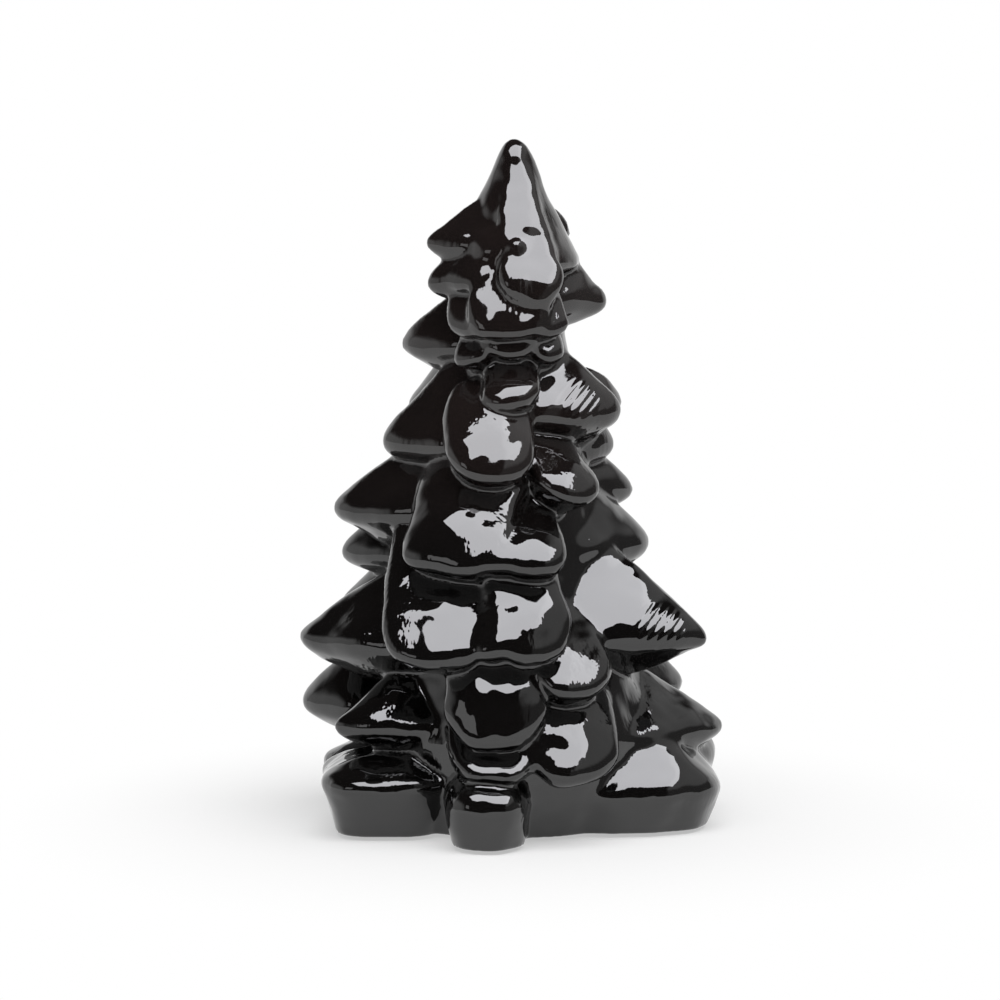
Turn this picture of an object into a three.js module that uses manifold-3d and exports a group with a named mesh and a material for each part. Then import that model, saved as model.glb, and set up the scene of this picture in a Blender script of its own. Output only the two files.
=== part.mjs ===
// Pressed black glass Christmas tree with a lobed foot, on four felt dots.
// Millimetres, +Z up, the front is towards -Y.
import * as THREE from 'three';
import Module from 'manifold-3d';

const wasm = await Module();
wasm.setup();

// Overall form: the tables below are drawn for a tree 140 mm tall and follow its height
const TREE_HEIGHT = 140;
const SIZE = TREE_HEIGHT / 140;

// Bough form
const RIM_ROUNDING = 1.7;
const PETAL_UNDERCUT = 24;
const PETAL_DEPTH = 11;
const PETAL_CROWN = 0.28;
const PETAL_END = 1.15;
const PETAL_TAIL = 0.95;
const WEDGE_UNDERCUT = 52;
const WEDGE_DEPTH = 9;
const WEDGE_BOW = 0.18;
const WEDGE_SQUARENESS = 1.5;
const WEDGE_BACK = 1.4;

// Underside
const DISH_RADIUS = 15;
const DISH_DEPTH = 1.5;
const FELT_THICKNESS = 0.75;
const FELT_RADIUS = 5;
const FELT_REACH = 27;

// Facets
const OUTLINE_STEPS = 16;
const SMALL_OUTLINE_STEPS = 10;
const SMALL_HALF_WIDTH = 6;
const CORE_STEPS = 24;
const FELT_STEPS = 24;

// Radius of the solid trunk and spire inside the boughs, by height
const TRUNK = [
  { z: 0, r: 26.8 },
  { z: 12, r: 29.8 },
  { z: 20, r: 29.8 },
  { z: 33, r: 25 },
  { z: 54, r: 19.5 },
  { z: 73, r: 15 },
  { z: 85, r: 12.5 },
  { z: 93, r: 12 },
  { z: 97.5, r: 11 },
  { z: 100, r: 10.4 },
  { z: 109, r: 9.6 },
  { z: 112.4, r: 10.4 },
  { z: 113.4, r: 12.2 },
  { z: 114.6, r: 13.1 },
  { z: 116, r: 13 },
  { z: 118.8, r: 11.75 },
  { z: 123.2, r: 9.3 },
  { z: 131.4, r: 5.5 },
  { z: 135, r: 3.9 },
  { z: 137, r: 3.2 },
  { z: 138.4, r: 2.5 },
  { z: 139.3, r: 1.75 },
  { z: 139.8, r: 0.9 },
];

// Each tier's boughs: azimuth from the front (positive to the right), reach of the tip,
// height of the rim, half width, and slope of the back.
// A petal hangs as a tilted slab; a wedge has a level rim under a sloping roof.
const bough = (form, [azimuth, reach, height, half, slope, extra = {}]) => {
  const { length = 0.62 * reach + 3, shift = 0, crown = PETAL_CROWN * half, depth, ...rest } = extra;
  return {
    form,
    azimuth,
    slope,
    reach: reach * SIZE,
    height: height * SIZE,
    half: half * SIZE,
    length: length * SIZE,
    shift: shift * SIZE,
    crown: crown * SIZE,
    depth: depth === undefined ? PETAL_DEPTH : depth * SIZE,
    ...rest,
  };
};
const petal = (...numbers) => bough('petal', numbers);
const wedge = (...numbers) => bough('wedge', numbers);

const TIERS = {
  spire: [
    wedge(-77, 19.0, 118.3, 9.0, 34, { length: 13, bow: 0.14 }),
    petal(12, 13.0, 115.2, 6.0, 63.5, { tail: 1.2, crown: 0.3, depth: 6 }),
    petal(-23, 13.4, 115.4, 4.6, 60, { square: 2.2, tail: 0.25, crown: 0.5, depth: 5 }),
    petal(1, 13.9, 116.2, 2.6, 56, { tail: 0.2, crown: 1.1, depth: 5 }),
    petal(30, 13.8, 114.4, 3.4, 58, { tail: 0.25, crown: 0.9, depth: 5 }),
    petal(74, 12.9, 114.2, 4.0, 60, { tail: 0.25, crown: 0.3, depth: 5 }),
    petal(128, 13.5, 117.8, 3.6, 64, { tail: 0.5, crown: 0.2, depth: 6 }),
    petal(165, 13.4, 115.0, 6.0, 60, { tail: 0.6, crown: 0.3 }),
    petal(-150, 14.0, 116.0, 6.0, 58, { tail: 0.6, crown: 0.4 }),
    petal(-118, 14.5, 117.0, 5.0, 56, { tail: 0.6, crown: 0.4 }),
  ],
  second: [
    wedge(-72, 18.8, 110.8, 8.5, 38, { length: 12 }),
    petal(-42, 16.4, 109.6, 6.5, 46, { square: 2.2, crown: 1.4 }),
    petal(14, 18.2, 105.7, 7.8, 62, { square: 1.7, tail: 0.5, crown: 1.2 }),
    wedge(104, 19.8, 106.3, 8.0, 40, { length: 13 }),
    wedge(-140, 17.0, 108.0, 8.0, 42),
    wedge(170, 18.0, 108.0, 8.0, 42),
  ],
  collar: [
    petal(-36, 18.4, 100.4, 7.0, 56, { square: 2.4, tail: 0.6, crown: 0.8 }),
    petal(-4, 18.7, 99.9, 9.4, 63, { square: 2.8, tail: 0.45, crown: 0.7 }),
    petal(22, 18.4, 100.4, 6.4, 56, { square: 2.2, tail: 0.5, crown: 0.6 }),
    wedge(-104, 25.4, 96.8, 9.0, 37, { length: 17 }),
    wedge(-155, 21.0, 98.0, 9.0, 42),
    wedge(155, 19.0, 98.0, 8.0, 45),
  ],
  fourth: [
    petal(-34, 17.2, 94.4, 5.4, 50, { square: 2.4, tail: 0.9, crown: 0.8 }),
    petal(-4, 17.0, 96.4, 7.0, 50, { square: 2.4, tail: 0.9, crown: 0.8 }),
    petal(-4, 21.7, 86.8, 6.8, 36, { square: 2.2, crown: 1.4 }),
    wedge(72, 23.8, 84.2, 15.5, 36, { length: 17.5, bow: 0.25 }),
    wedge(112, 25.0, 84.8, 7.5, 38, { length: 10 }),
    wedge(-80, 28.1, 77.8, 17.0, 44, { length: 22, bow: 0.12 }),
    wedge(150, 25.0, 87.0, 10.0, 42),
    wedge(-170, 25.0, 85.0, 10.0, 42),
    wedge(-122, 26.0, 84.0, 10.0, 42),
  ],
  fifth: [
    petal(0, 27.8, 72.2, 10.2, 45, { square: 2.2, tail: 0.65, crown: 3.7, shift: -3.9 }),
    petal(34, 26.8, 68.4, 7.8, 38, { tail: 0.7, crown: 1.8, shift: -1.8 }),
    wedge(106, 21.6, 76.0, 7.5, 50, { length: 10 }),
    wedge(112, 26.6, 66.6, 8.0, 42, { length: 12 }),
    wedge(152, 28.0, 72.0, 11.0, 42),
    wedge(-160, 28.0, 71.0, 12.0, 42),
  ],
  sixth: [
    wedge(-86, 38.2, 64.2, 19.0, 32, { length: 27 }),
    wedge(-108, 38.8, 53.4, 9.0, 36, { length: 17 }),
    petal(-14, 34.8, 55.2, 12.0, 36, { square: 3.2, shift: -5.2 }),
    petal(-5, 34.0, 56.2, 5.6, 37, { square: 2.2 }),
    petal(6, 34.0, 55.4, 7.8, 36, { square: 2.8 }),
    wedge(98, 28.8, 56.4, 17.0, 42, { length: 20, bow: 0.16 }),
    wedge(118, 28.0, 55.0, 9.0, 42, { length: 14 }),
    wedge(150, 33.0, 56.0, 12.0, 42),
    wedge(-170, 33.0, 55.0, 12.0, 42),
    wedge(-140, 33.0, 56.0, 12.0, 42),
  ],
  seventh: [
    wedge(-88, 45.4, 37.6, 23.0, 35, { length: 31, bow: 0.03 }),
    petal(-4, 39.2, 37.4, 12.0, 45, { square: 3, crown: 2.6, shift: -12.9 }),
    petal(-7, 38.8, 38.8, 6.0, 45, { square: 2.3, depth: 15 }),
    petal(12, 38.2, 38.2, 9.0, 50, { square: 2.8, shift: -4 }),
    petal(21, 37.6, 30.8, 9.6, 46, { square: 2.3, tail: 0.8, crown: 2 }),
    wedge(69, 42.4, 39.2, 18.5, 31, { length: 31, bow: 0.34 }),
    wedge(118, 34.0, 45.0, 8.5, 36, { length: 12 }),
    wedge(-106, 47.4, 22.0, 10.5, 38, { length: 16 }),
    wedge(113, 39.4, 25.4, 9.5, 38, { length: 16 }),
    wedge(140, 40.0, 38.0, 13.0, 40),
    wedge(178, 40.0, 37.0, 13.0, 40),
    wedge(-146, 41.0, 38.0, 13.0, 40),
    wedge(-116, 41.0, 41.0, 10.0, 40, { length: 18 }),
  ],
  eighth: [
    wedge(-60, 42.4, 22.2, 16.0, 28, { length: 24 }),
    petal(-5.5, 37.4, 19.8, 11.0, 64, { square: 2.4, tail: 0.6, depth: 15, shift: -0.8 }),
    petal(-6.5, 39.6, 15.2, 11.2, 34, { square: 2.2, crown: 0.6, depth: 7 }),
    petal(11, 39.2, 13.8, 12.0, 42, { square: 2.1, depth: 6, shift: 5.4 }),
    wedge(90, 44.4, 19.0, 21.0, 31, { length: 27, bow: 0.08 }),
    wedge(140, 41.0, 21.0, 14.0, 38),
    wedge(178, 41.0, 20.0, 14.0, 38),
    wedge(-147, 41.0, 21.0, 14.0, 38),
    wedge(112, 41.0, 18.0, 11.0, 38, { length: 20 }),
  ],
};

// Lobes of the foot: middle and half sizes seen from above, turn, height of the rim,
// squareness of the outline, rise above the rim, draft, and the felt dot under the lobe
const lobe = (middle, half, turn, height, square, crown, draft, felt) => ({
  middle,
  half,
  turn,
  height,
  square,
  crown,
  draft,
  felt,
});
const FOOT_LOBES = [
  lobe([-26, -15], [13.8, 15.6], 3, 11.8, 3.4, 5.5, 19),
  lobe([-5.3, -29.5], [8.9, 12.6], 0, 10, 2.2, 5.5, 8, 'front'),
  lobe([22, -6.4], [20.2, 18.6], 5, 9.4, 2.9, 9, 18, 'right'),
  lobe([30, 6], [12.4, 11], 0, 14, 2.2, 5, 15),
  lobe([-28, 7], [12, 11.5], 0, 11.5, 2.2, 4, 18, 'left'),
  lobe([13, 22], [13.5, 13.5], 0, 10, 2.3, 7, 12, 'back'),
  lobe([-13, 22], [14, 13.5], 0, 10, 2.3, 7, 12),
];

const rad = (degrees) => degrees * Math.PI / 180;
const tan = (degrees) => Math.tan(rad(degrees));

// A closed solid through rings of equal length, capped by a point at either end
function ringSolid(top, rings, bottom) {
  const steps = rings[0].length;
  const points = [top, ...rings.flat(), bottom];
  const at = (ring, step) => 1 + ring * steps + step % steps;
  const faces = [];
  for (let j = 0; j < steps; j++) faces.push([0, at(0, j), at(0, j + 1)]);
  for (let i = 0; i + 1 < rings.length; i++) {
    for (let j = 0; j < steps; j++) {
      faces.push([at(i, j), at(i + 1, j), at(i + 1, j + 1)]);
      faces.push([at(i, j), at(i + 1, j + 1), at(i, j + 1)]);
    }
  }
  const last = rings.length - 1;
  for (let j = 0; j < steps; j++) faces.push([points.length - 1, at(last, j + 1), at(last, j)]);
  const mesh = new wasm.Mesh({
    numProp: 3,
    vertProperties: new Float32Array(points.flat()),
    triVerts: new Uint32Array(faces.flat()),
  });
  return new wasm.Manifold(mesh);
}

// A superellipse outline of unit size, anticlockwise from above
function outline(squareness, half) {
  const steps = half < SMALL_HALF_WIDTH * SIZE ? SMALL_OUTLINE_STEPS : OUTLINE_STEPS;
  const bend = (value) => Math.sign(value) * Math.abs(value) ** (2 / squareness);
  const unit = [];
  for (let j = 0; j < steps; j++) {
    const angle = 2 * Math.PI * j / steps;
    unit.push([bend(Math.cos(angle)), bend(Math.sin(angle))]);
  }
  return unit;
}

// From reach, side step and height at an azimuth to x, y and z
function place(azimuth, r, v, z) {
  const a = rad(azimuth);
  return [r * Math.sin(a) + v * Math.cos(a), -r * Math.cos(a) + v * Math.sin(a), z];
}

// Rings of a bough: the outline shrinks by each level's share and lies at its height
function levelRings(levels, unit, front, back, half, toWorld) {
  const along = (a, u) => (a > 0 ? front : back) * a * u - front;
  return levels.map(([u, n]) => unit.map(([a, b]) => toWorld(along(a, u), half * b * u, n)));
}

function petalSolid(form) {
  const { azimuth, reach, height, half, slope, crown, depth, shift } = form;
  const { square = 2, tail = PETAL_TAIL } = form;
  const d = rad(slope);
  const front = half * PETAL_END;
  const toWorld = (s, v, n) => place(
    azimuth,
    reach + s * Math.cos(d) + n * Math.sin(d),
    v + shift,
    height - s * Math.sin(d) + n * Math.cos(d),
  );
  const arch = (u) => crown * (1 - u * u);
  const shoulder = 1 - RIM_ROUNDING / half;
  const floor = Math.max(0.1, 1 - depth * tan(PETAL_UNDERCUT) / half);
  const levels = [
    [shoulder * 0.5, arch(shoulder * 0.5)],
    [shoulder * 0.85, arch(shoulder * 0.85)],
    [shoulder, arch(shoulder) - 0.15 * RIM_ROUNDING],
    [1, -0.6 * RIM_ROUNDING],
    [1 - 0.35 * RIM_ROUNDING / half, -1.6 * RIM_ROUNDING],
    [floor, -depth],
  ];
  const rings = levelRings(levels, outline(square, half), front, reach * tail, half, toWorld);
  return ringSolid(toWorld(-front, 0, crown), rings, toWorld(-front, 0, -depth));
}

function wedgeSolid({ azimuth, reach, height, half, slope, length, bow = WEDGE_BOW }) {
  const peak = length * tan(slope);
  const roof = (u) => peak * (1 - u) + bow * peak * (1 - u * u);
  const toWorld = (s, v, n) => place(azimuth, reach + s, v, height + n);
  const slant = tan(WEDGE_UNDERCUT);
  const depth = Math.min(WEDGE_DEPTH, 0.85 * half / slant);
  const shoulder = 1 - RIM_ROUNDING / half;
  const levels = [
    [0.4, roof(0.4)],
    [0.75, roof(0.75)],
    [shoulder, roof(shoulder) - 0.25 * RIM_ROUNDING],
    [1, -0.35 * RIM_ROUNDING],
    [1 - 1.2 * RIM_ROUNDING / half, -1.35 * RIM_ROUNDING],
    [1 - depth * slant / half, -depth],
  ];
  const unit = outline(WEDGE_SQUARENESS, half);
  const rings = levelRings(levels, unit, length, WEDGE_BACK * half, half, toWorld);
  return ringSolid(toWorld(-length, 0, roof(0)), rings, toWorld(-length, 0, -depth));
}

function lobeSolid({ middle, half, turn, height, square, crown, draft }) {
  const t = rad(turn);
  const [x, y] = middle;
  const [wide, long] = half;
  const narrow = Math.min(wide, long);
  const at = (a, b, z) => [
    SIZE * (x + a * wide * Math.cos(t) - b * long * Math.sin(t)),
    SIZE * (y + a * wide * Math.sin(t) + b * long * Math.cos(t)),
    SIZE * z,
  ];
  const arch = (u) => height + crown * (1 - u * u);
  const rounding = RIM_ROUNDING / SIZE;
  const shoulder = 1 - 1.5 * rounding / narrow;
  const levels = [
    [0.45, arch(0.45)],
    [0.75, arch(0.75)],
    [shoulder, arch(shoulder) - 0.3 * rounding],
    [1, height - 0.8 * rounding],
    [1 - (height + 1) * tan(draft) / narrow, -1],
  ];
  const unit = outline(square, narrow * SIZE);
  const rings = levels.map(([u, z]) => unit.map(([a, b]) => at(a * u, b * u, z)));
  return ringSolid(at(0, 0, arch(0)), rings, at(0, 0, -1));
}

// Trunk and spire as one turned form
function coreSolid() {
  const rings = [...TRUNK].reverse().map(({ z, r }) => {
    const ring = [];
    for (let j = 0; j < CORE_STEPS; j++) {
      const angle = 2 * Math.PI * j / CORE_STEPS;
      ring.push([SIZE * r * Math.cos(angle), SIZE * r * Math.sin(angle), SIZE * z]);
    }
    return ring;
  });
  return ringSolid([0, 0, TREE_HEIGHT], rings, [0, 0, 0]);
}

// The underside is ground flat at the top of the felt, with a shallow dish inside
function glassTree() {
  const solids = { petal: petalSolid, wedge: wedgeSolid };
  const boughs = Object.values(TIERS).flat().map((each) => solids[each.form](each));
  const lobes = FOOT_LOBES.map(lobeSolid);
  const raw = wasm.Manifold.union([coreSolid(), ...boughs, ...lobes]);
  const below = 40;
  const wide = 200;
  const ground = wasm.Manifold.cube([wide, wide, below], true)
    .translate([0, 0, FELT_THICKNESS - below / 2]);
  const dish = wasm.Manifold.cylinder(DISH_DEPTH + 1, DISH_RADIUS, DISH_RADIUS * 0.9, CORE_STEPS)
    .translate([0, 0, FELT_THICKNESS - 1]);
  const whole = raw.subtract(ground).subtract(dish);
  console.log(`facets ${whole.numTri()}, through holes ${whole.genus()}`);
  return whole;
}

function meshFrom(manifold, name, material) {
  const { vertProperties, triVerts, numProp } = manifold.getMesh();
  const positions = [];
  for (let i = 0; i < vertProperties.length; i += numProp) {
    positions.push(vertProperties[i], vertProperties[i + 1], vertProperties[i + 2]);
  }
  const geometry = new THREE.BufferGeometry();
  geometry.setAttribute('position', new THREE.Float32BufferAttribute(positions, 3));
  geometry.setIndex(Array.from(triVerts));
  geometry.computeVertexNormals();
  const mesh = new THREE.Mesh(geometry, material);
  mesh.name = name;
  return mesh;
}

const blackGlass = new THREE.MeshStandardMaterial({ color: 0x0c0a0a, roughness: 0.05, metalness: 0 });
blackGlass.name = 'black_glass';
const felt = new THREE.MeshStandardMaterial({ color: 0x1c1c1e, roughness: 0.95, metalness: 0 });
felt.name = 'black_felt';

const group = new THREE.Group();
group.name = 'glass_christmas_tree';
group.add(meshFrom(glassTree(), 'glass_tree', blackGlass));

for (const { middle: [x, y], felt: side } of FOOT_LOBES.filter((each) => each.felt)) {
  const outward = FELT_REACH / Math.hypot(x, y);
  const dot = new THREE.CylinderGeometry(FELT_RADIUS, FELT_RADIUS, FELT_THICKNESS, FELT_STEPS);
  dot.rotateX(Math.PI / 2);
  dot.translate(x * outward, y * outward, FELT_THICKNESS / 2);
  const mesh = new THREE.Mesh(dot, felt);
  mesh.name = `felt_foot_${side}`;
  group.add(mesh);
}

// The origin is the middle of the outline, so the trunk's axis stands a little off it
const middle = new THREE.Box3().setFromObject(group).getCenter(new THREE.Vector3());
group.position.set(-middle.x, -middle.y, 0);
console.log(`trunk axis at x ${(-middle.x).toFixed(3)}, y ${(-middle.y).toFixed(3)}`);

export default group;
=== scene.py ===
"""Looks of a pressed black glass tree figurine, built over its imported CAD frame."""

import math

import bpy
import numpy as np
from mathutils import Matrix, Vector


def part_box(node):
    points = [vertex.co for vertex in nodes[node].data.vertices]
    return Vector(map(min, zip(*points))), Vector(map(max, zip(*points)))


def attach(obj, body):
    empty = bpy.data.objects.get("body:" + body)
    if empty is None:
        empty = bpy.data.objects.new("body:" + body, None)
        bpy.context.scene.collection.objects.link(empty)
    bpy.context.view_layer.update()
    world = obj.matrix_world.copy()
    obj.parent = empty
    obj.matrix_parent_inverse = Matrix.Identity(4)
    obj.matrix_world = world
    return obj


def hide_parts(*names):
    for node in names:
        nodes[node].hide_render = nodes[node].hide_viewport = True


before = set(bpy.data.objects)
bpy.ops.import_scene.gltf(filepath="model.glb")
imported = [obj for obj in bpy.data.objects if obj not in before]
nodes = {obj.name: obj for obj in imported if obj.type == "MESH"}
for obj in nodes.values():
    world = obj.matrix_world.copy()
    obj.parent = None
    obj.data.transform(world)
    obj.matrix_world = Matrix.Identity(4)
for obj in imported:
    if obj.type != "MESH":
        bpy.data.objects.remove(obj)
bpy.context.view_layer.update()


MM = 0.001

# The trunk's axis stands under the tip of the spire
tip = max((v.co for v in nodes["glass_tree"].data.vertices), key=lambda co: co.z)
TRUNK_X = tip.x
TRUNK_Y = tip.y

# The grid and the whole casting, in millimetres
GRID_STEP = 0.6
HALF_WIDTH = 48
LOWEST = -2
HIGHEST = 143
BOX_MARGIN = 3
DEPTH_MARGIN = 4
EDGE_ROUNDING = 2.2
RIM_LOSS = 1.0
BOUGH_CREASE = 0.9
FOOT_CREASE = 1.4
SMALLEST = 1e-9

# Front boughs: thick tongues, in millimetres and degrees
PETAL_UNDERCUT = 24.0
PETAL_DEPTH = 11.0
PETAL_CROWN_SHARE = 0.28
PETAL_END_SHARE = 1.15
PETAL_ROUNDING = EDGE_ROUNDING * 1.4

# Side boughs: points with a ridge, in millimetres and degrees
WEDGE_UNDERCUT = 52.0
WEDGE_DEPTH = 9.0
WEDGE_LENGTH_SHARE = 0.62
WEDGE_LENGTH_EXTRA = 3
WEDGE_BACK_STRETCH = 1.4
WEDGE_PEAK_SOFTNESS = 0.01
WEDGE_ROUNDING = EDGE_ROUNDING * 2

# Shares that turn a height over a slope into a distance across it
WEDGE_ROOF_LEAN = 0.9
TRUNK_LEAN = 0.9
FOOT_TOP_LEAN = 0.75

# Underside
FELT_THICKNESS = 0.75
DISH_RADIUS = 15.0
DISH_DEPTH = 1.5

# Unevenness of the pressed glass, worked out in a band around its surface
SWELL = {"height": 0.19, "shortest": 8, "longest": 16, "count": 24, "seed": 3}
PUCKER = {"height": 0.026, "shortest": 3, "longest": 5, "count": 24, "seed": 8}
UNEVEN_BAND = 2.5 * GRID_STEP


def smooth_max(a, b, width):
    """The larger of two values, rounded where they come nearer than the width."""
    overlap = np.maximum(width - np.abs(a - b), 0) / width
    return np.maximum(a, b) + overlap * overlap * width * 0.25


def smooth_min(a, b, width):
    return -smooth_max(-a, -b, width)


def petal(azimuth, reach, height, half, slope, square=2.0, tail=0.95, crown=None,
          depth=PETAL_DEPTH, shift=0.0):
    """A thick drooping tongue: a slab with a round free end and a domed upper face."""
    crown = PETAL_CROWN_SHARE * half if crown is None else crown
    pitch, undercut = math.radians(slope), math.radians(PETAL_UNDERCUT)
    end = half * PETAL_END_SHARE

    def field(outward, across, up):
        across = across - shift
        along = outward * math.cos(pitch) - up * math.sin(pitch)
        normal = outward * math.sin(pitch) + up * math.cos(pitch)
        lengthwise = along + end
        lengthwise = np.where(lengthwise > 0, lengthwise * half / end, lengthwise * half / (reach * tail))
        radius = (np.abs(lengthwise) ** square + np.abs(across) ** square) ** (1 / square)
        top = normal - crown * (1 - (radius / half) ** 2)
        side = (radius - half) * math.cos(undercut) - normal * math.sin(undercut)
        return smooth_max(smooth_max(top, side, PETAL_ROUNDING), -normal - depth, EDGE_ROUNDING)

    return {"azimuth": azimuth, "reach": reach, "height": height, "half": half, "slope": slope,
            "length": end + reach * tail, "shift": shift, "field": field}


def wedge(azimuth, reach, height, half, slope, length=None, square=1.5, bow=0.18):
    """A bough that comes to a point, with a ridge along its back and undercut sides."""
    length = WEDGE_LENGTH_SHARE * reach + WEDGE_LENGTH_EXTRA if length is None else length
    pitch, undercut = math.radians(slope), math.radians(WEDGE_UNDERCUT)
    peak = length * math.tan(pitch)

    def field(outward, across, up):
        lengthwise = outward + length
        lengthwise = np.where(lengthwise > 0, lengthwise * half / length, lengthwise / WEDGE_BACK_STRETCH)
        radius = (np.abs(lengthwise) ** square + np.abs(across) ** square + SMALLEST) ** (1 / square)
        share = radius / half
        roof = peak * (1 - np.sqrt(share * share + WEDGE_PEAK_SOFTNESS)) + bow * peak * (1 - share * share)
        top = (up - roof) * math.cos(pitch) * WEDGE_ROOF_LEAN
        side = (radius - half) * math.cos(undercut) - up * math.sin(undercut)
        return smooth_max(smooth_max(top, side, WEDGE_ROUNDING), -up - WEDGE_DEPTH, EDGE_ROUNDING)

    return {"azimuth": azimuth, "reach": reach, "height": height, "half": half, "slope": slope,
            "length": length, "shift": 0.0, "field": field}


# Each bough by direction, reach, height, half width and slope, with its own form after them
TIERS = {
    "spire": [
        wedge(-77, 19.0, 118.3, 9.0, 34, 13, bow=0.14),
        petal(12, 13.0, 115.2, 6.0, 63.5, 2.0, 1.2, 0.3, 6),
        petal(-23, 13.4, 115.4, 4.6, 60, 2.2, 0.25, 0.5, 5),
        petal(1, 13.9, 116.2, 2.6, 56, 2.0, 0.2, 1.1, 5),
        petal(30, 13.8, 114.4, 3.4, 58, 2.0, 0.25, 0.9, 5),
        petal(74, 12.9, 114.2, 4.0, 60, 2.0, 0.25, 0.3, 5),
        petal(128, 13.5, 117.8, 3.6, 64, 2.0, 0.5, 0.2, 6),
        petal(165, 13.4, 115.0, 6.0, 60, 2.0, 0.6, 0.3),
        petal(-150, 14.0, 116.0, 6.0, 58, 2.0, 0.6, 0.4),
        petal(-118, 14.5, 117.0, 5.0, 56, 2.0, 0.6, 0.4),
    ],
    "second": [
        wedge(-72, 18.8, 110.8, 8.5, 38, 12),
        petal(-42, 16.4, 109.6, 6.5, 46, 2.2, 0.95, 1.4),
        petal(14, 18.2, 105.7, 7.8, 62, 1.7, 0.5, 1.2),
        wedge(104, 19.8, 106.3, 8.0, 40, 13),
        wedge(-140, 17.0, 108.0, 8.0, 42),
        wedge(170, 18.0, 108.0, 8.0, 42),
    ],
    "collar": [
        petal(-36, 18.4, 100.4, 7.0, 56, 2.4, 0.6, 0.8),
        petal(-4, 18.7, 99.9, 9.4, 63, 2.8, 0.45, 0.7),
        petal(22, 18.4, 100.4, 6.4, 56, 2.2, 0.5, 0.6),
        wedge(-104, 25.4, 96.8, 9.0, 37, 17),
        wedge(-155, 21.0, 98.0, 9.0, 42),
        wedge(155, 19.0, 98.0, 8.0, 45),
    ],
    "fourth": [
        petal(-34, 17.2, 94.4, 5.4, 50, 2.4, 0.9, 0.8),
        petal(30, 16.4, 95.2, 5.2, 50, 2.4, 0.9, 0.8),
        petal(-4, 17.0, 96.4, 7.0, 50, 2.4, 0.9, 0.8),
        petal(-4, 21.7, 86.8, 6.8, 36, 2.2, 0.95, 1.4),
        wedge(72, 23.8, 84.2, 15.5, 36, 17.5, bow=0.25),
        wedge(112, 25.0, 84.8, 7.5, 38, 10),
        wedge(-80, 28.1, 77.8, 17.0, 44, 22, bow=0.12),
        wedge(150, 25.0, 87.0, 10.0, 42),
        wedge(-170, 25.0, 85.0, 10.0, 42),
        wedge(-122, 26.0, 84.0, 10.0, 42),
    ],
    "fifth": [
        petal(8, 27.0, 72.2, 10.2, 46, 2.2, 0.65, 3.7, shift=-7.7),
        petal(34, 26.8, 68.4, 7.8, 38, 2.0, 0.7, 1.8, shift=-1.8),
        wedge(106, 21.6, 76.0, 7.5, 50, 10),
        wedge(112, 26.6, 66.6, 8.0, 42, 12),
        wedge(152, 28.0, 72.0, 11.0, 42),
        wedge(-160, 28.0, 71.0, 12.0, 42),
    ],
    "sixth": [
        wedge(-86, 38.2, 64.2, 19.0, 32, 27),
        wedge(-108, 38.8, 53.4, 9.0, 36, 17),
        petal(-18, 35.2, 55.2, 12.0, 42, 3.0, crown=4.2, shift=-2.8),
        petal(-5, 34.0, 56.2, 5.6, 36, 2.2),
        petal(6, 34.0, 55.4, 7.8, 33, 2.8),
        wedge(98, 28.8, 56.4, 17.0, 42, 20, bow=0.16),
        wedge(118, 28.0, 55.0, 9.0, 42, 14),
        wedge(150, 33.0, 56.0, 12.0, 42),
        wedge(-170, 33.0, 55.0, 12.0, 42),
        wedge(-140, 33.0, 56.0, 12.0, 42),
    ],
    "seventh": [
        wedge(-88, 45.4, 37.6, 23.0, 35, 31, bow=0.03),
        petal(-4, 39.2, 37.4, 12.0, 45, 3.0, crown=2.6, shift=-12.9),
        petal(-7, 38.8, 38.8, 6.0, 45, 2.3, depth=15),
        petal(12, 38.2, 38.2, 9.0, 50, 2.8, shift=-4.0),
        petal(21, 37.6, 30.8, 9.6, 40, 2.3, 0.8, 2.0),
        wedge(67, 42.9, 39.2, 17.5, 32, 31, bow=0.28),
        wedge(118, 34.0, 45.0, 8.5, 36, 12),
        wedge(-106, 47.4, 22.0, 10.5, 38, 16),
        wedge(113, 39.4, 25.4, 9.5, 38, 16),
        wedge(140, 40.0, 38.0, 13.0, 40),
        wedge(178, 40.0, 37.0, 13.0, 40),
        wedge(-146, 41.0, 38.0, 13.0, 40),
        wedge(-116, 41.0, 41.0, 10.0, 40, 18),
    ],
    "eighth": [
        wedge(-60, 42.4, 22.2, 16.0, 28, 24),
        petal(-5.5, 37.4, 19.8, 11.0, 64, 2.4, 0.6, depth=15, shift=-0.8),
        petal(-6.5, 39.6, 15.2, 11.2, 34, 2.2, 0.95, 0.6, 7),
        petal(18, 39.2, 13.8, 12.0, 45.5, 2.1, 0.95, 3.2, 6, shift=0.7),
        wedge(90, 44.4, 19.0, 21.0, 31, 27, bow=0.08),
        wedge(140, 41.0, 21.0, 14.0, 38),
        wedge(178, 41.0, 20.0, 14.0, 38),
        wedge(-147, 41.0, 21.0, 14.0, 38),
        wedge(112, 41.0, 18.0, 11.0, 38, 20),
    ],
}


def foot_lobe(middle, half, turn, rim, square, crown, draft):
    """A lobe of the foot: rim is the height of its edge, crown the rise of its top above it."""
    return {"middle": middle, "half": half, "turn": turn, "rim": rim, "square": square,
            "crown": crown, "draft": draft}


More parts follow.
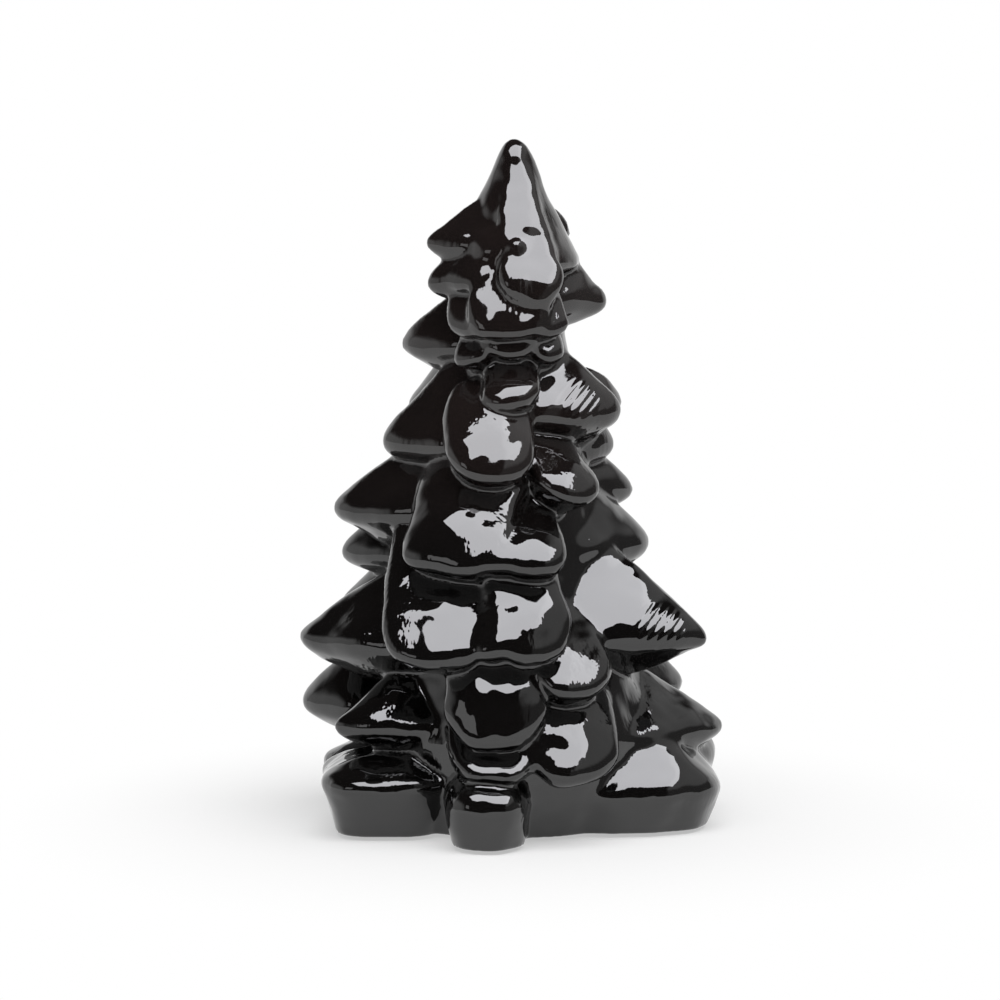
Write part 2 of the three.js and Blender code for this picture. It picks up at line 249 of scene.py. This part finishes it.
FOOT_TOP = 28
FOOT_LOBES = [
    foot_lobe((-26.0, -15.0), (13.8, 15.6), 3, 11.8, 3.4, 5.5, 19),
    foot_lobe((-5.3, -29.5), (8.9, 12.6), 0, 10.0, 2.2, 5.5, 8),
    foot_lobe((22.0, -6.4), (20.2, 18.6), 5, 9.4, 2.9, 12.5, 18),
    foot_lobe((30.0, 6.0), (12.4, 11.0), 0, 14.0, 2.2, 5, 15),
    foot_lobe((-28.0, 7.0), (12.0, 11.5), 0, 11.5, 2.2, 4, 18),
    foot_lobe((13.0, 22.0), (13.5, 13.5), 0, 10.0, 2.3, 7, 12),
    foot_lobe((-13.0, 22.0), (14.0, 13.5), 0, 10.0, 2.3, 7, 12),
]

# The solid trunk inside the boughs and the spire above them: height and radius
TRUNK = [
    (0, 26.8), (12, 29.8), (20, 29.8), (33, 25), (54, 19.5), (73, 15), (85, 12.5), (93, 12),
    (97.5, 11), (100, 10.4), (109, 9.6), (112.4, 10.4), (113.4, 12.2), (114.6, 13.1),
    (116, 13.0), (118.8, 11.75), (123.2, 9.3), (127.3, 7.45), (131.4, 5.5), (135, 3.9),
    (137, 3.2), (138.4, 2.5), (139.3, 1.75), (139.8, 0.9), (140, 0), (143, -5),
]
TRUNK_HEIGHTS, TRUNK_RADII = zip(*TRUNK)


def trunk_field(x, y, z):
    return (np.hypot(x, y) - np.interp(z, TRUNK_HEIGHTS, TRUNK_RADII)) * TRUNK_LEAN


def bough_field(bough, x, y, z):
    angle = math.radians(bough["azimuth"])
    outward = x * math.sin(angle) - y * math.cos(angle) - bough["reach"] - RIM_LOSS
    across = x * math.cos(angle) + y * math.sin(angle)
    return bough["field"](outward, across, z - bough["height"])


def bough_box(bough):
    """Low and high corner of a box that the bough stays inside."""
    angle, pitch = math.radians(bough["azimuth"]), math.radians(bough["slope"])
    end = np.array([bough["reach"] * math.sin(angle), -bough["reach"] * math.cos(angle), bough["height"]])
    inward = np.array([
        -math.sin(angle) * math.cos(pitch),
        math.cos(angle) * math.cos(pitch),
        math.sin(pitch),
    ])
    root = end + (bough["length"] + bough["half"]) * inward
    points = np.array([end, end + bough["half"] * inward, root])
    spread = bough["half"] + abs(bough["shift"]) + BOX_MARGIN
    margin = np.array([spread, spread, PETAL_DEPTH + DEPTH_MARGIN])
    return points.min(0) - margin, points.max(0) + margin


def foot_field(lobe, x, y, z):
    turn, draft = math.radians(lobe["turn"]), math.radians(lobe["draft"])
    dx, dy = x - lobe["middle"][0], y - lobe["middle"][1]
    u = (dx * math.cos(turn) + dy * math.sin(turn)) / lobe["half"][0]
    v = (dy * math.cos(turn) - dx * math.sin(turn)) / lobe["half"][1]
    share = (np.abs(u) ** lobe["square"] + np.abs(v) ** lobe["square"]) ** (1 / lobe["square"])
    width = min(lobe["half"])
    top = (z - lobe["rim"] - lobe["crown"] * (1 - share * share)) * FOOT_TOP_LEAN
    side = (share - 1) * width * math.cos(draft) - (z - lobe["rim"]) * math.sin(draft)
    return smooth_max(top, side, EDGE_ROUNDING)


def foot_box(lobe):
    """Low and high corner of a box that the lobe stays inside."""
    reach = math.hypot(*lobe["half"]) + BOX_MARGIN
    x, y = lobe["middle"]
    return np.array([x - reach, y - reach, -BOX_MARGIN]), np.array([x + reach, y + reach, FOOT_TOP])


def added_parts():
    """What is joined to the trunk: each part's field, its box and the width of the crease around it."""
    for tier in TIERS.values():
        for bough in tier:
            yield lambda x, y, z, b=bough: bough_field(b, x, y, z), bough_box(bough), BOUGH_CREASE
    for lobe in FOOT_LOBES:
        yield lambda x, y, z, b=lobe: foot_field(b, x, y, z), foot_box(lobe), FOOT_CREASE


def waves(x, y, z, height, shortest, longest, count, seed):
    """A gentle unevenness: plane waves in many directions, of lengths between two bounds."""
    rng = np.random.default_rng(seed)
    total = np.zeros_like(x)
    for _ in range(count):
        direction = rng.normal(size=3)
        direction *= 2 * math.pi / rng.uniform(shortest, longest) / np.linalg.norm(direction)
        phase = x * direction[0] + y * direction[1] + z * direction[2]
        total += np.sin(phase + rng.uniform(0, 2 * math.pi))
    return total * height * math.sqrt(2 / count)


def grid_field():
    """Signed distance to the tree on a grid, below zero inside the glass."""
    across = np.arange(-HALF_WIDTH, HALF_WIDTH + GRID_STEP, GRID_STEP)
    up = np.arange(LOWEST, HIGHEST + GRID_STEP, GRID_STEP)
    x, y, z = np.meshgrid(across, across, up, indexing="ij")
    field = trunk_field(x, y, z)
    for part, limits, crease in added_parts():
        window = []
        for low, high, axis in zip(*limits, (across, across, up)):
            first = max(0, int((low - axis[0]) / GRID_STEP) - 1)
            last = min(len(axis), int((high - axis[0]) / GRID_STEP) + 2)
            window.append(slice(first, last))
        window = tuple(window)
        field[window] = smooth_min(field[window], part(x[window], y[window], z[window]), crease)
    near = np.abs(field) < UNEVEN_BAND
    at = (x[near], y[near], z[near])
    field[near] += waves(*at, **SWELL) + waves(*at, **PUCKER)
    dish = DISH_DEPTH * np.clip((DISH_RADIUS - np.hypot(x, y)) / DISH_DEPTH, 0, 1)
    field = np.maximum(field, FELT_THICKNESS + dish - z)
    return field, np.array([across[0], across[0], up[0]])


def surface_nets(field, origin, step):
    """One vertex in each grid cell that the surface crosses, joined into quads."""
    inside = field < 0
    nx, ny, nz = field.shape
    corners = [(i, j, k) for i in (0, 1) for j in (0, 1) for k in (0, 1)]
    filled = np.stack([inside[i:nx - 1 + i, j:ny - 1 + j, k:nz - 1 + k] for i, j, k in corners])
    crossed = filled.any(0) & ~filled.all(0)
    cells = np.argwhere(crossed)
    index = -np.ones(crossed.shape, np.int64)
    index[crossed] = np.arange(len(cells))
    total = np.zeros((len(cells), 3))
    count = np.zeros(len(cells))
    for first in corners:
        for second in corners:
            direction = np.subtract(second, first)
            if direction.sum() != 1 or np.abs(direction).sum() != 1:
                continue
            a = field[tuple((cells + first).T)]
            b = field[tuple((cells + second).T)]
            cuts = (a < 0) != (b < 0)
            share = np.where(cuts, a / np.where(cuts, a - b, 1), 0)
            total += np.where(cuts[:, None], np.array(first) + share[:, None] * direction, 0)
            count += cuts
    vertices = origin + step * (cells + total / count[:, None])
    quads = []
    for axis in range(3):
        u, v = (axis + 1) % 3, (axis + 2) % 3
        lower, upper = [slice(None)] * 3, [slice(None)] * 3
        lower[axis], upper[axis] = slice(0, -1), slice(1, None)
        below, above = inside[tuple(lower)], inside[tuple(upper)]
        for leaving in (True, False):
            edges = np.argwhere((below & ~above) if leaving else (~below & above))
            around = []
            for du, dv in ((-1, -1), (0, -1), (0, 0), (-1, 0)):
                cell = edges.copy()
                cell[:, u] += du
                cell[:, v] += dv
                around.append(index[tuple(cell.T)])
            quad = np.stack(around, 1)
            quads.append(quad if leaving else quad[:, ::-1])
    return vertices, np.concatenate(quads)


# Each round of smoothing is followed by a slightly stronger swelling back
RELAX_ROUNDS = 3
SMOOTHING = 0.5
SWELLING_BACK = -0.52


def relax(vertices, quads):
    """Even out the pattern of the grid without shrinking the form."""
    first = quads.ravel()
    second = np.roll(quads, -1, 1).ravel()
    size = len(vertices)
    count = np.bincount(first, minlength=size) + np.bincount(second, minlength=size)
    for share in (SMOOTHING, SWELLING_BACK) * RELAX_ROUNDS:
        middle = np.empty_like(vertices)
        for axis in range(3):
            place = vertices[:, axis]
            total = np.bincount(first, place[second], size) + np.bincount(second, place[first], size)
            middle[:, axis] = total / count
        vertices = vertices + share * (middle - vertices)
    return vertices


def mesh_object(name, vertices, faces, smooth=True):
    mesh = bpy.data.meshes.new(name)
    mesh.from_pydata(vertices.tolist(), [], faces.tolist())
    mesh.polygons.foreach_set("use_smooth", [smooth] * len(mesh.polygons))
    mesh.update()
    thing = bpy.data.objects.new(name, mesh)
    bpy.context.scene.collection.objects.link(thing)
    return thing


def make_casting():
    """The glass, set on the trunk's axis and kept inside the box of its CAD node."""
    field, corner = grid_field()
    vertices, quads = surface_nets(field, corner, GRID_STEP)
    vertices = relax(vertices, quads) * MM + np.array([TRUNK_X, TRUNK_Y, 0])
    low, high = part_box("glass_tree")
    return mesh_object("tree_casting", np.clip(vertices, np.array(low), np.array(high)), quads)


tree = make_casting()
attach(tree, "root")
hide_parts("glass_tree")


# Materials
class Nodes:
    """A node tree with short calls for the nodes used here."""

    def __init__(self, tree):
        self.tree = tree

    def add(self, kind, operation=None):
        node = self.tree.nodes.new(kind)
        if operation is not None:
            node.operation = operation
        return node

    def link(self, source, target):
        self.tree.links.new(source, target)

    def arithmetic(self, operation, first, second):
        node = self.add("ShaderNodeMath", operation)
        self.link(first, node.inputs[0])
        self.link(second, node.inputs[1])
        return node.outputs[0]

    def times(self, first, second):
        return self.arithmetic("MULTIPLY", first, second)

    def larger(self, first, second):
        return self.arithmetic("MAXIMUM", first, second)

    def any_ray(self, kinds):
        """One if the ray is of any of these kinds."""
        rays = self.add("ShaderNodeLightPath")
        value = rays.outputs[kinds[0]]
        for kind in kinds[1:]:
            value = self.larger(value, rays.outputs[kind])
        return value

    def length(self, vector):
        node = self.add("ShaderNodeVectorMath", "LENGTH")
        self.link(vector, node.inputs[0])
        return node.outputs["Value"]

    def parts(self, vector):
        """The X, Y and Z outputs of a vector."""
        node = self.add("ShaderNodeSeparateXYZ")
        self.link(vector, node.inputs["Vector"])
        return node.outputs

    def spread(self, value, low, high, to_low, to_high):
        """A soft step from to_low at low to to_high at high."""
        node = self.add("ShaderNodeMapRange")
        node.interpolation_type = "SMOOTHSTEP"
        self.link(value, node.inputs["Value"])
        settings = {"From Min": low, "From Max": high, "To Min": to_low, "To Max": to_high}
        for name, number in settings.items():
            node.inputs[name].default_value = number
        return node.outputs["Result"]

    def blend(self, share, first, second):
        node = self.add("ShaderNodeMix")
        node.data_type = "RGBA"
        self.link(share, node.inputs["Factor"])
        for socket, colour in ((node.inputs[6], first), (node.inputs[7], second)):
            if isinstance(colour, tuple):
                socket.default_value = (*colour, 1)
            else:
                self.link(colour, socket)
        return node.outputs[2]


class Shader(Nodes):
    """The nodes of a new material, placed by object coordinates."""

    def __init__(self, name):
        self.material = bpy.data.materials.new(name)
        self.material.use_nodes = True
        super().__init__(self.material.node_tree)
        self.surface = self.tree.nodes["Principled BSDF"]
        self.output = self.tree.nodes["Material Output"]
        self.place = self.add("ShaderNodeTexCoord").outputs["Object"]

    def noise(self, scale, detail=3.0, rough=0.5, place=None):
        node = self.add("ShaderNodeTexNoise")
        node.inputs["Scale"].default_value = scale
        node.inputs["Detail"].default_value = detail
        node.inputs["Roughness"].default_value = rough
        self.link(self.place if place is None else place, node.inputs["Vector"])
        return node.outputs["Fac"]

    def stretched(self, scale):
        node = self.add("ShaderNodeMapping")
        node.inputs["Scale"].default_value = scale
        self.link(self.place, node.inputs["Vector"])
        return node.outputs["Vector"]

    def bump(self, height, distance, below=None):
        node = self.add("ShaderNodeBump")
        node.inputs["Strength"].default_value = 1.0
        node.inputs["Distance"].default_value = distance
        self.link(height, node.inputs["Height"])
        if below is not None:
            self.link(below, node.inputs["Normal"])
        return node.outputs["Normal"]


# Short ridges like needles, in millimetres from the trunk's axis: middle of the patch,
# direction from ridge to ridge, spacing and radius of the patch
NEEDLE_PATCHES = [
    ((14.0, -13.0, 88.5), (0.75, 0.0, -0.66), 1.5, 6.0),
    ((29.5, -20.0, 43.0), (0.75, 0.0, -0.66), 1.5, 6.5),
    ((0.6, -15.0, 108.5), (1.0, 0.0, 0.0), 1.2, 4.5),
]
NEEDLE_HEIGHT = 0.05 * MM
RIPPLE_HEIGHT = 0.05 * MM
SCRATCH_HEIGHT = 0.07 * MM
FELT_NAP = 0.2 * MM

# The base colour turns from black to brown-black upwards, beginning and full at these heights, in metres
BROWN_FROM = 0.055
BROWN_FULL = 0.085
BLACK = (0.0025, 0.0023, 0.0023)
BROWN_BLACK = (0.010, 0.0072, 0.0068)
CLOUD_DARK = (0.0015, 0.0015, 0.0015)
CLOUD_LIGHT = (0.0045, 0.004, 0.004)
GLASS_IOR = 1.72
FELT_DARK = (0.011, 0.011, 0.013)
FELT_LIGHT = (0.035, 0.035, 0.038)


def needle_ridges(glass, middle, direction, spacing, radius):
    """A wave along one direction that fades out around the middle of the patch."""
    centre = (TRUNK_X + middle[0] * MM, TRUNK_Y + middle[1] * MM, middle[2] * MM)
    from_middle = glass.add("ShaderNodeVectorMath", "SUBTRACT")
    from_middle.inputs[1].default_value = centre
    glass.link(glass.place, from_middle.inputs[0])
    along = glass.add("ShaderNodeVectorMath", "DOT_PRODUCT")
    along.inputs[1].default_value = [2 * math.pi * part / (spacing * MM) for part in direction]
    glass.link(from_middle.outputs["Vector"], along.inputs[0])
    wave = glass.add("ShaderNodeMath", "SINE")
    glass.link(along.outputs["Value"], wave.inputs[0])
    distance = glass.length(from_middle.outputs["Vector"])
    fade = glass.spread(distance, 0.5 * radius * MM, radius * MM, 1.0, 0.0)
    return glass.times(wave.outputs[0], fade)


def black_glass():
    glass = Shader("black_glass")
    warmth = glass.spread(glass.parts(glass.place)["Z"], BROWN_FROM, BROWN_FULL, 0.0, 1.0)
    colour = glass.blend(warmth, BLACK, BROWN_BLACK)
    cloud = glass.blend(glass.noise(scale=90), CLOUD_DARK, CLOUD_LIGHT)
    cloudiness = glass.spread(glass.noise(scale=35), 0.35, 0.65, 0.0, 0.5)
    glass.link(glass.blend(cloudiness, colour, cloud), glass.surface.inputs["Base Color"])
    haze = glass.spread(glass.noise(scale=60, detail=4), 0.3, 0.7, 0.015, 0.045)
    glass.link(haze, glass.surface.inputs["Roughness"])
    glass.surface.inputs["IOR"].default_value = GLASS_IOR
    ripple = glass.noise(scale=260, detail=2, place=glass.stretched((1.0, 1.0, 0.35)))
    scratches = glass.noise(scale=1000, detail=1, place=glass.stretched((1.0, 1.0, 0.12)))
    patches = glass.spread(glass.noise(scale=70, detail=1), 0.5, 0.62, 0.0, 1.0)
    normal = glass.bump(glass.times(scratches, patches), SCRATCH_HEIGHT)
    for patch in NEEDLE_PATCHES:
        normal = glass.bump(needle_ridges(glass, *patch), NEEDLE_HEIGHT, normal)
    glass.link(glass.bump(ripple, RIPPLE_HEIGHT, normal), glass.surface.inputs["Normal"])
    return glass.material


def black_felt():
    felt = Shader("black_felt")
    colour = felt.blend(felt.noise(scale=2600, detail=4, rough=0.7), FELT_DARK, FELT_LIGHT)
    felt.link(colour, felt.surface.inputs["Base Color"])
    felt.surface.inputs["Roughness"].default_value = 0.95
    felt.surface.inputs["Specular IOR Level"].default_value = 0.2
    nap = felt.bump(felt.noise(scale=3800, detail=3, rough=0.7), FELT_NAP)
    felt.link(nap, felt.surface.inputs["Normal"])
    return felt.material


tree.data.materials.append(black_glass())
felt_material = black_felt()
for name, node in nodes.items():
    if name.startswith("felt_foot"):
        node.data.materials.clear()
        node.data.materials.append(felt_material)


# Studio
FLOOR_RADIUS = 1.5
FLOOR_SIDES = 96
FLOOR_PLAIN = 0.04
FLOOR_WHITE = 0.11
FLOOR_LEAST_GLOW = 0.45
PAPER_DARK = (0.90, 0.90, 0.90)
PAPER_LIGHT = (0.94, 0.94, 0.94)
BACKDROP_RAYS = ("Is Camera Ray", "Is Glossy Ray", "Is Transmission Ray")
WHITE = (1.0, 1.0, 1.0)
COOL_WHITE = (0.96, 0.96, 1.0)
ROOM = (0.03, 0.026, 0.025)
SOFT_FILL = (0.4, 0.4, 0.4)


def make_floor():
    """White paper that shows the tree's shadow near it and glows white farther away."""
    angles = np.linspace(0, 2 * math.pi, FLOOR_SIDES, endpoint=False)
    flat = np.zeros(FLOOR_SIDES)
    ring = np.stack([FLOOR_RADIUS * np.cos(angles), FLOOR_RADIUS * np.sin(angles), flat], 1)
    floor = mesh_object("floor", ring, np.arange(FLOOR_SIDES)[None], smooth=False)
    paper = Shader("white_paper")
    grain = paper.blend(paper.noise(scale=900), PAPER_DARK, PAPER_LIGHT)
    paper.link(grain, paper.surface.inputs["Base Color"])
    paper.surface.inputs["Roughness"].default_value = 0.9
    away = paper.spread(paper.length(paper.place), FLOOR_PLAIN, FLOOR_WHITE, FLOOR_LEAST_GLOW, 1.0)
    white = paper.add("ShaderNodeEmission")
    mix = paper.add("ShaderNodeMixShader")
    paper.link(paper.times(away, paper.any_ray(BACKDROP_RAYS)), mix.inputs["Fac"])
    paper.link(paper.surface.outputs["BSDF"], mix.inputs[1])
    paper.link(white.outputs["Emission"], mix.inputs[2])
    paper.link(mix.outputs["Shader"], paper.output.inputs["Surface"])
    floor.data.materials.append(paper.material)


def make_world():
    """White low behind the tree, grey to its right and low at its far left, else a dark room.

    Bounds are parts of a direction of length 1: X to the right, Y to the back and Z up.
    """
    world = bpy.data.worlds.new("studio")
    bpy.context.scene.world = world
    world.use_nodes = True
    room = Nodes(world.node_tree)
    toward = room.parts(room.add("ShaderNodeTexCoord").outputs["Generated"])
    low = room.spread(toward["Z"], 0.35, 0.60, 1.0, 0.0)
    high = room.spread(toward["Z"], 0.42, 0.60, 0.25, 1.0)
    behind = room.times(room.spread(toward["Y"], 0.25, 0.60, 0.0, 1.0), low)
    right = room.times(room.spread(toward["X"], 0.42, 0.52, 0.0, 0.5), high)
    left = room.times(room.spread(toward["X"], -0.92, -0.75, 0.6, 0.0), low)
    lit = room.larger(room.larger(behind, right), left)
    reflected = room.blend(lit, ROOM, WHITE)
    camera_or_not = room.blend(room.any_ray(("Is Camera Ray",)), reflected, WHITE)
    seen = room.blend(room.any_ray(BACKDROP_RAYS), SOFT_FILL, camera_or_not)
    room.link(seen, world.node_tree.nodes["Background"].inputs["Color"])


def lamp(name, place, size, radiance, turn=0.0, aim=None, diffuse=True, glossy=True, colour=WHITE):
    """A rectangular lamp of an even radiance. It points down unless it has something to aim at."""
    light = bpy.data.lights.new(name, "AREA")
    light.shape = "RECTANGLE"
    light.size, light.size_y = size
    light.energy = radiance * math.pi * size[0] * size[1]
    light.color = colour
    thing = bpy.data.objects.new(name, light)
    thing.location = place
    if aim is None:
        thing.rotation_euler = (0, 0, math.radians(turn))
    else:
        thing.rotation_mode = "QUATERNION"
        thing.rotation_quaternion = (Vector(aim) - Vector(place)).to_track_quat("-Z", "Y")
    thing.visible_diffuse = diffuse
    thing.visible_glossy = glossy
    bpy.context.scene.collection.objects.link(thing)


# One softbox overhead, as two lamps: one that the glass reflects and one that lights the rest
SOFTBOX = {"place": (0.2, -0.45, 0.95), "size": (1.15, 0.8), "turn": 15}

make_floor()
make_world()
lamp("overhead_reflection", radiance=6.6, diffuse=False, colour=COOL_WHITE, **SOFTBOX)
lamp("overhead_light", radiance=4.5, glossy=False, **SOFTBOX)
lamp("card_left", place=(-0.8, -0.95, 0.4), size=(0.35, 0.35), radiance=1.0, aim=(0, 0, 0.08))

# Camera: a short telephoto, a little above the tip of the spire. The picture's scale is that
# at the trunk, and the trunk's axis stands at AXIS_COLUMN of the picture.
DISTANCE = 0.8
EYE_HEIGHT = 0.155
AIM_HEIGHT = 0.066
PIXELS_PER_METRE = 4870
AXIS_COLUMN = 514
PICTURE = 1000
SENSOR = 36.0

side = -(AXIS_COLUMN - PICTURE / 2) / PIXELS_PER_METRE
eye = Vector((TRUNK_X + side, TRUNK_Y - DISTANCE, EYE_HEIGHT))
aim = Vector((TRUNK_X + side, TRUNK_Y, AIM_HEIGHT))
camera = bpy.data.cameras.new("camera")
camera.sensor_width = SENSOR
camera.lens = SENSOR * PIXELS_PER_METRE * (aim - eye).length / PICTURE
camera.clip_start = 0.01
camera_object = bpy.data.objects.new("camera", camera)
camera_object.location = eye
camera_object.rotation_mode = "QUATERNION"
camera_object.rotation_quaternion = (aim - eye).to_track_quat("-Z", "Y")
bpy.context.scene.collection.objects.link(camera_object)
bpy.context.scene.camera = camera_object
bpy.context.scene.view_settings.view_transform = "Standard"
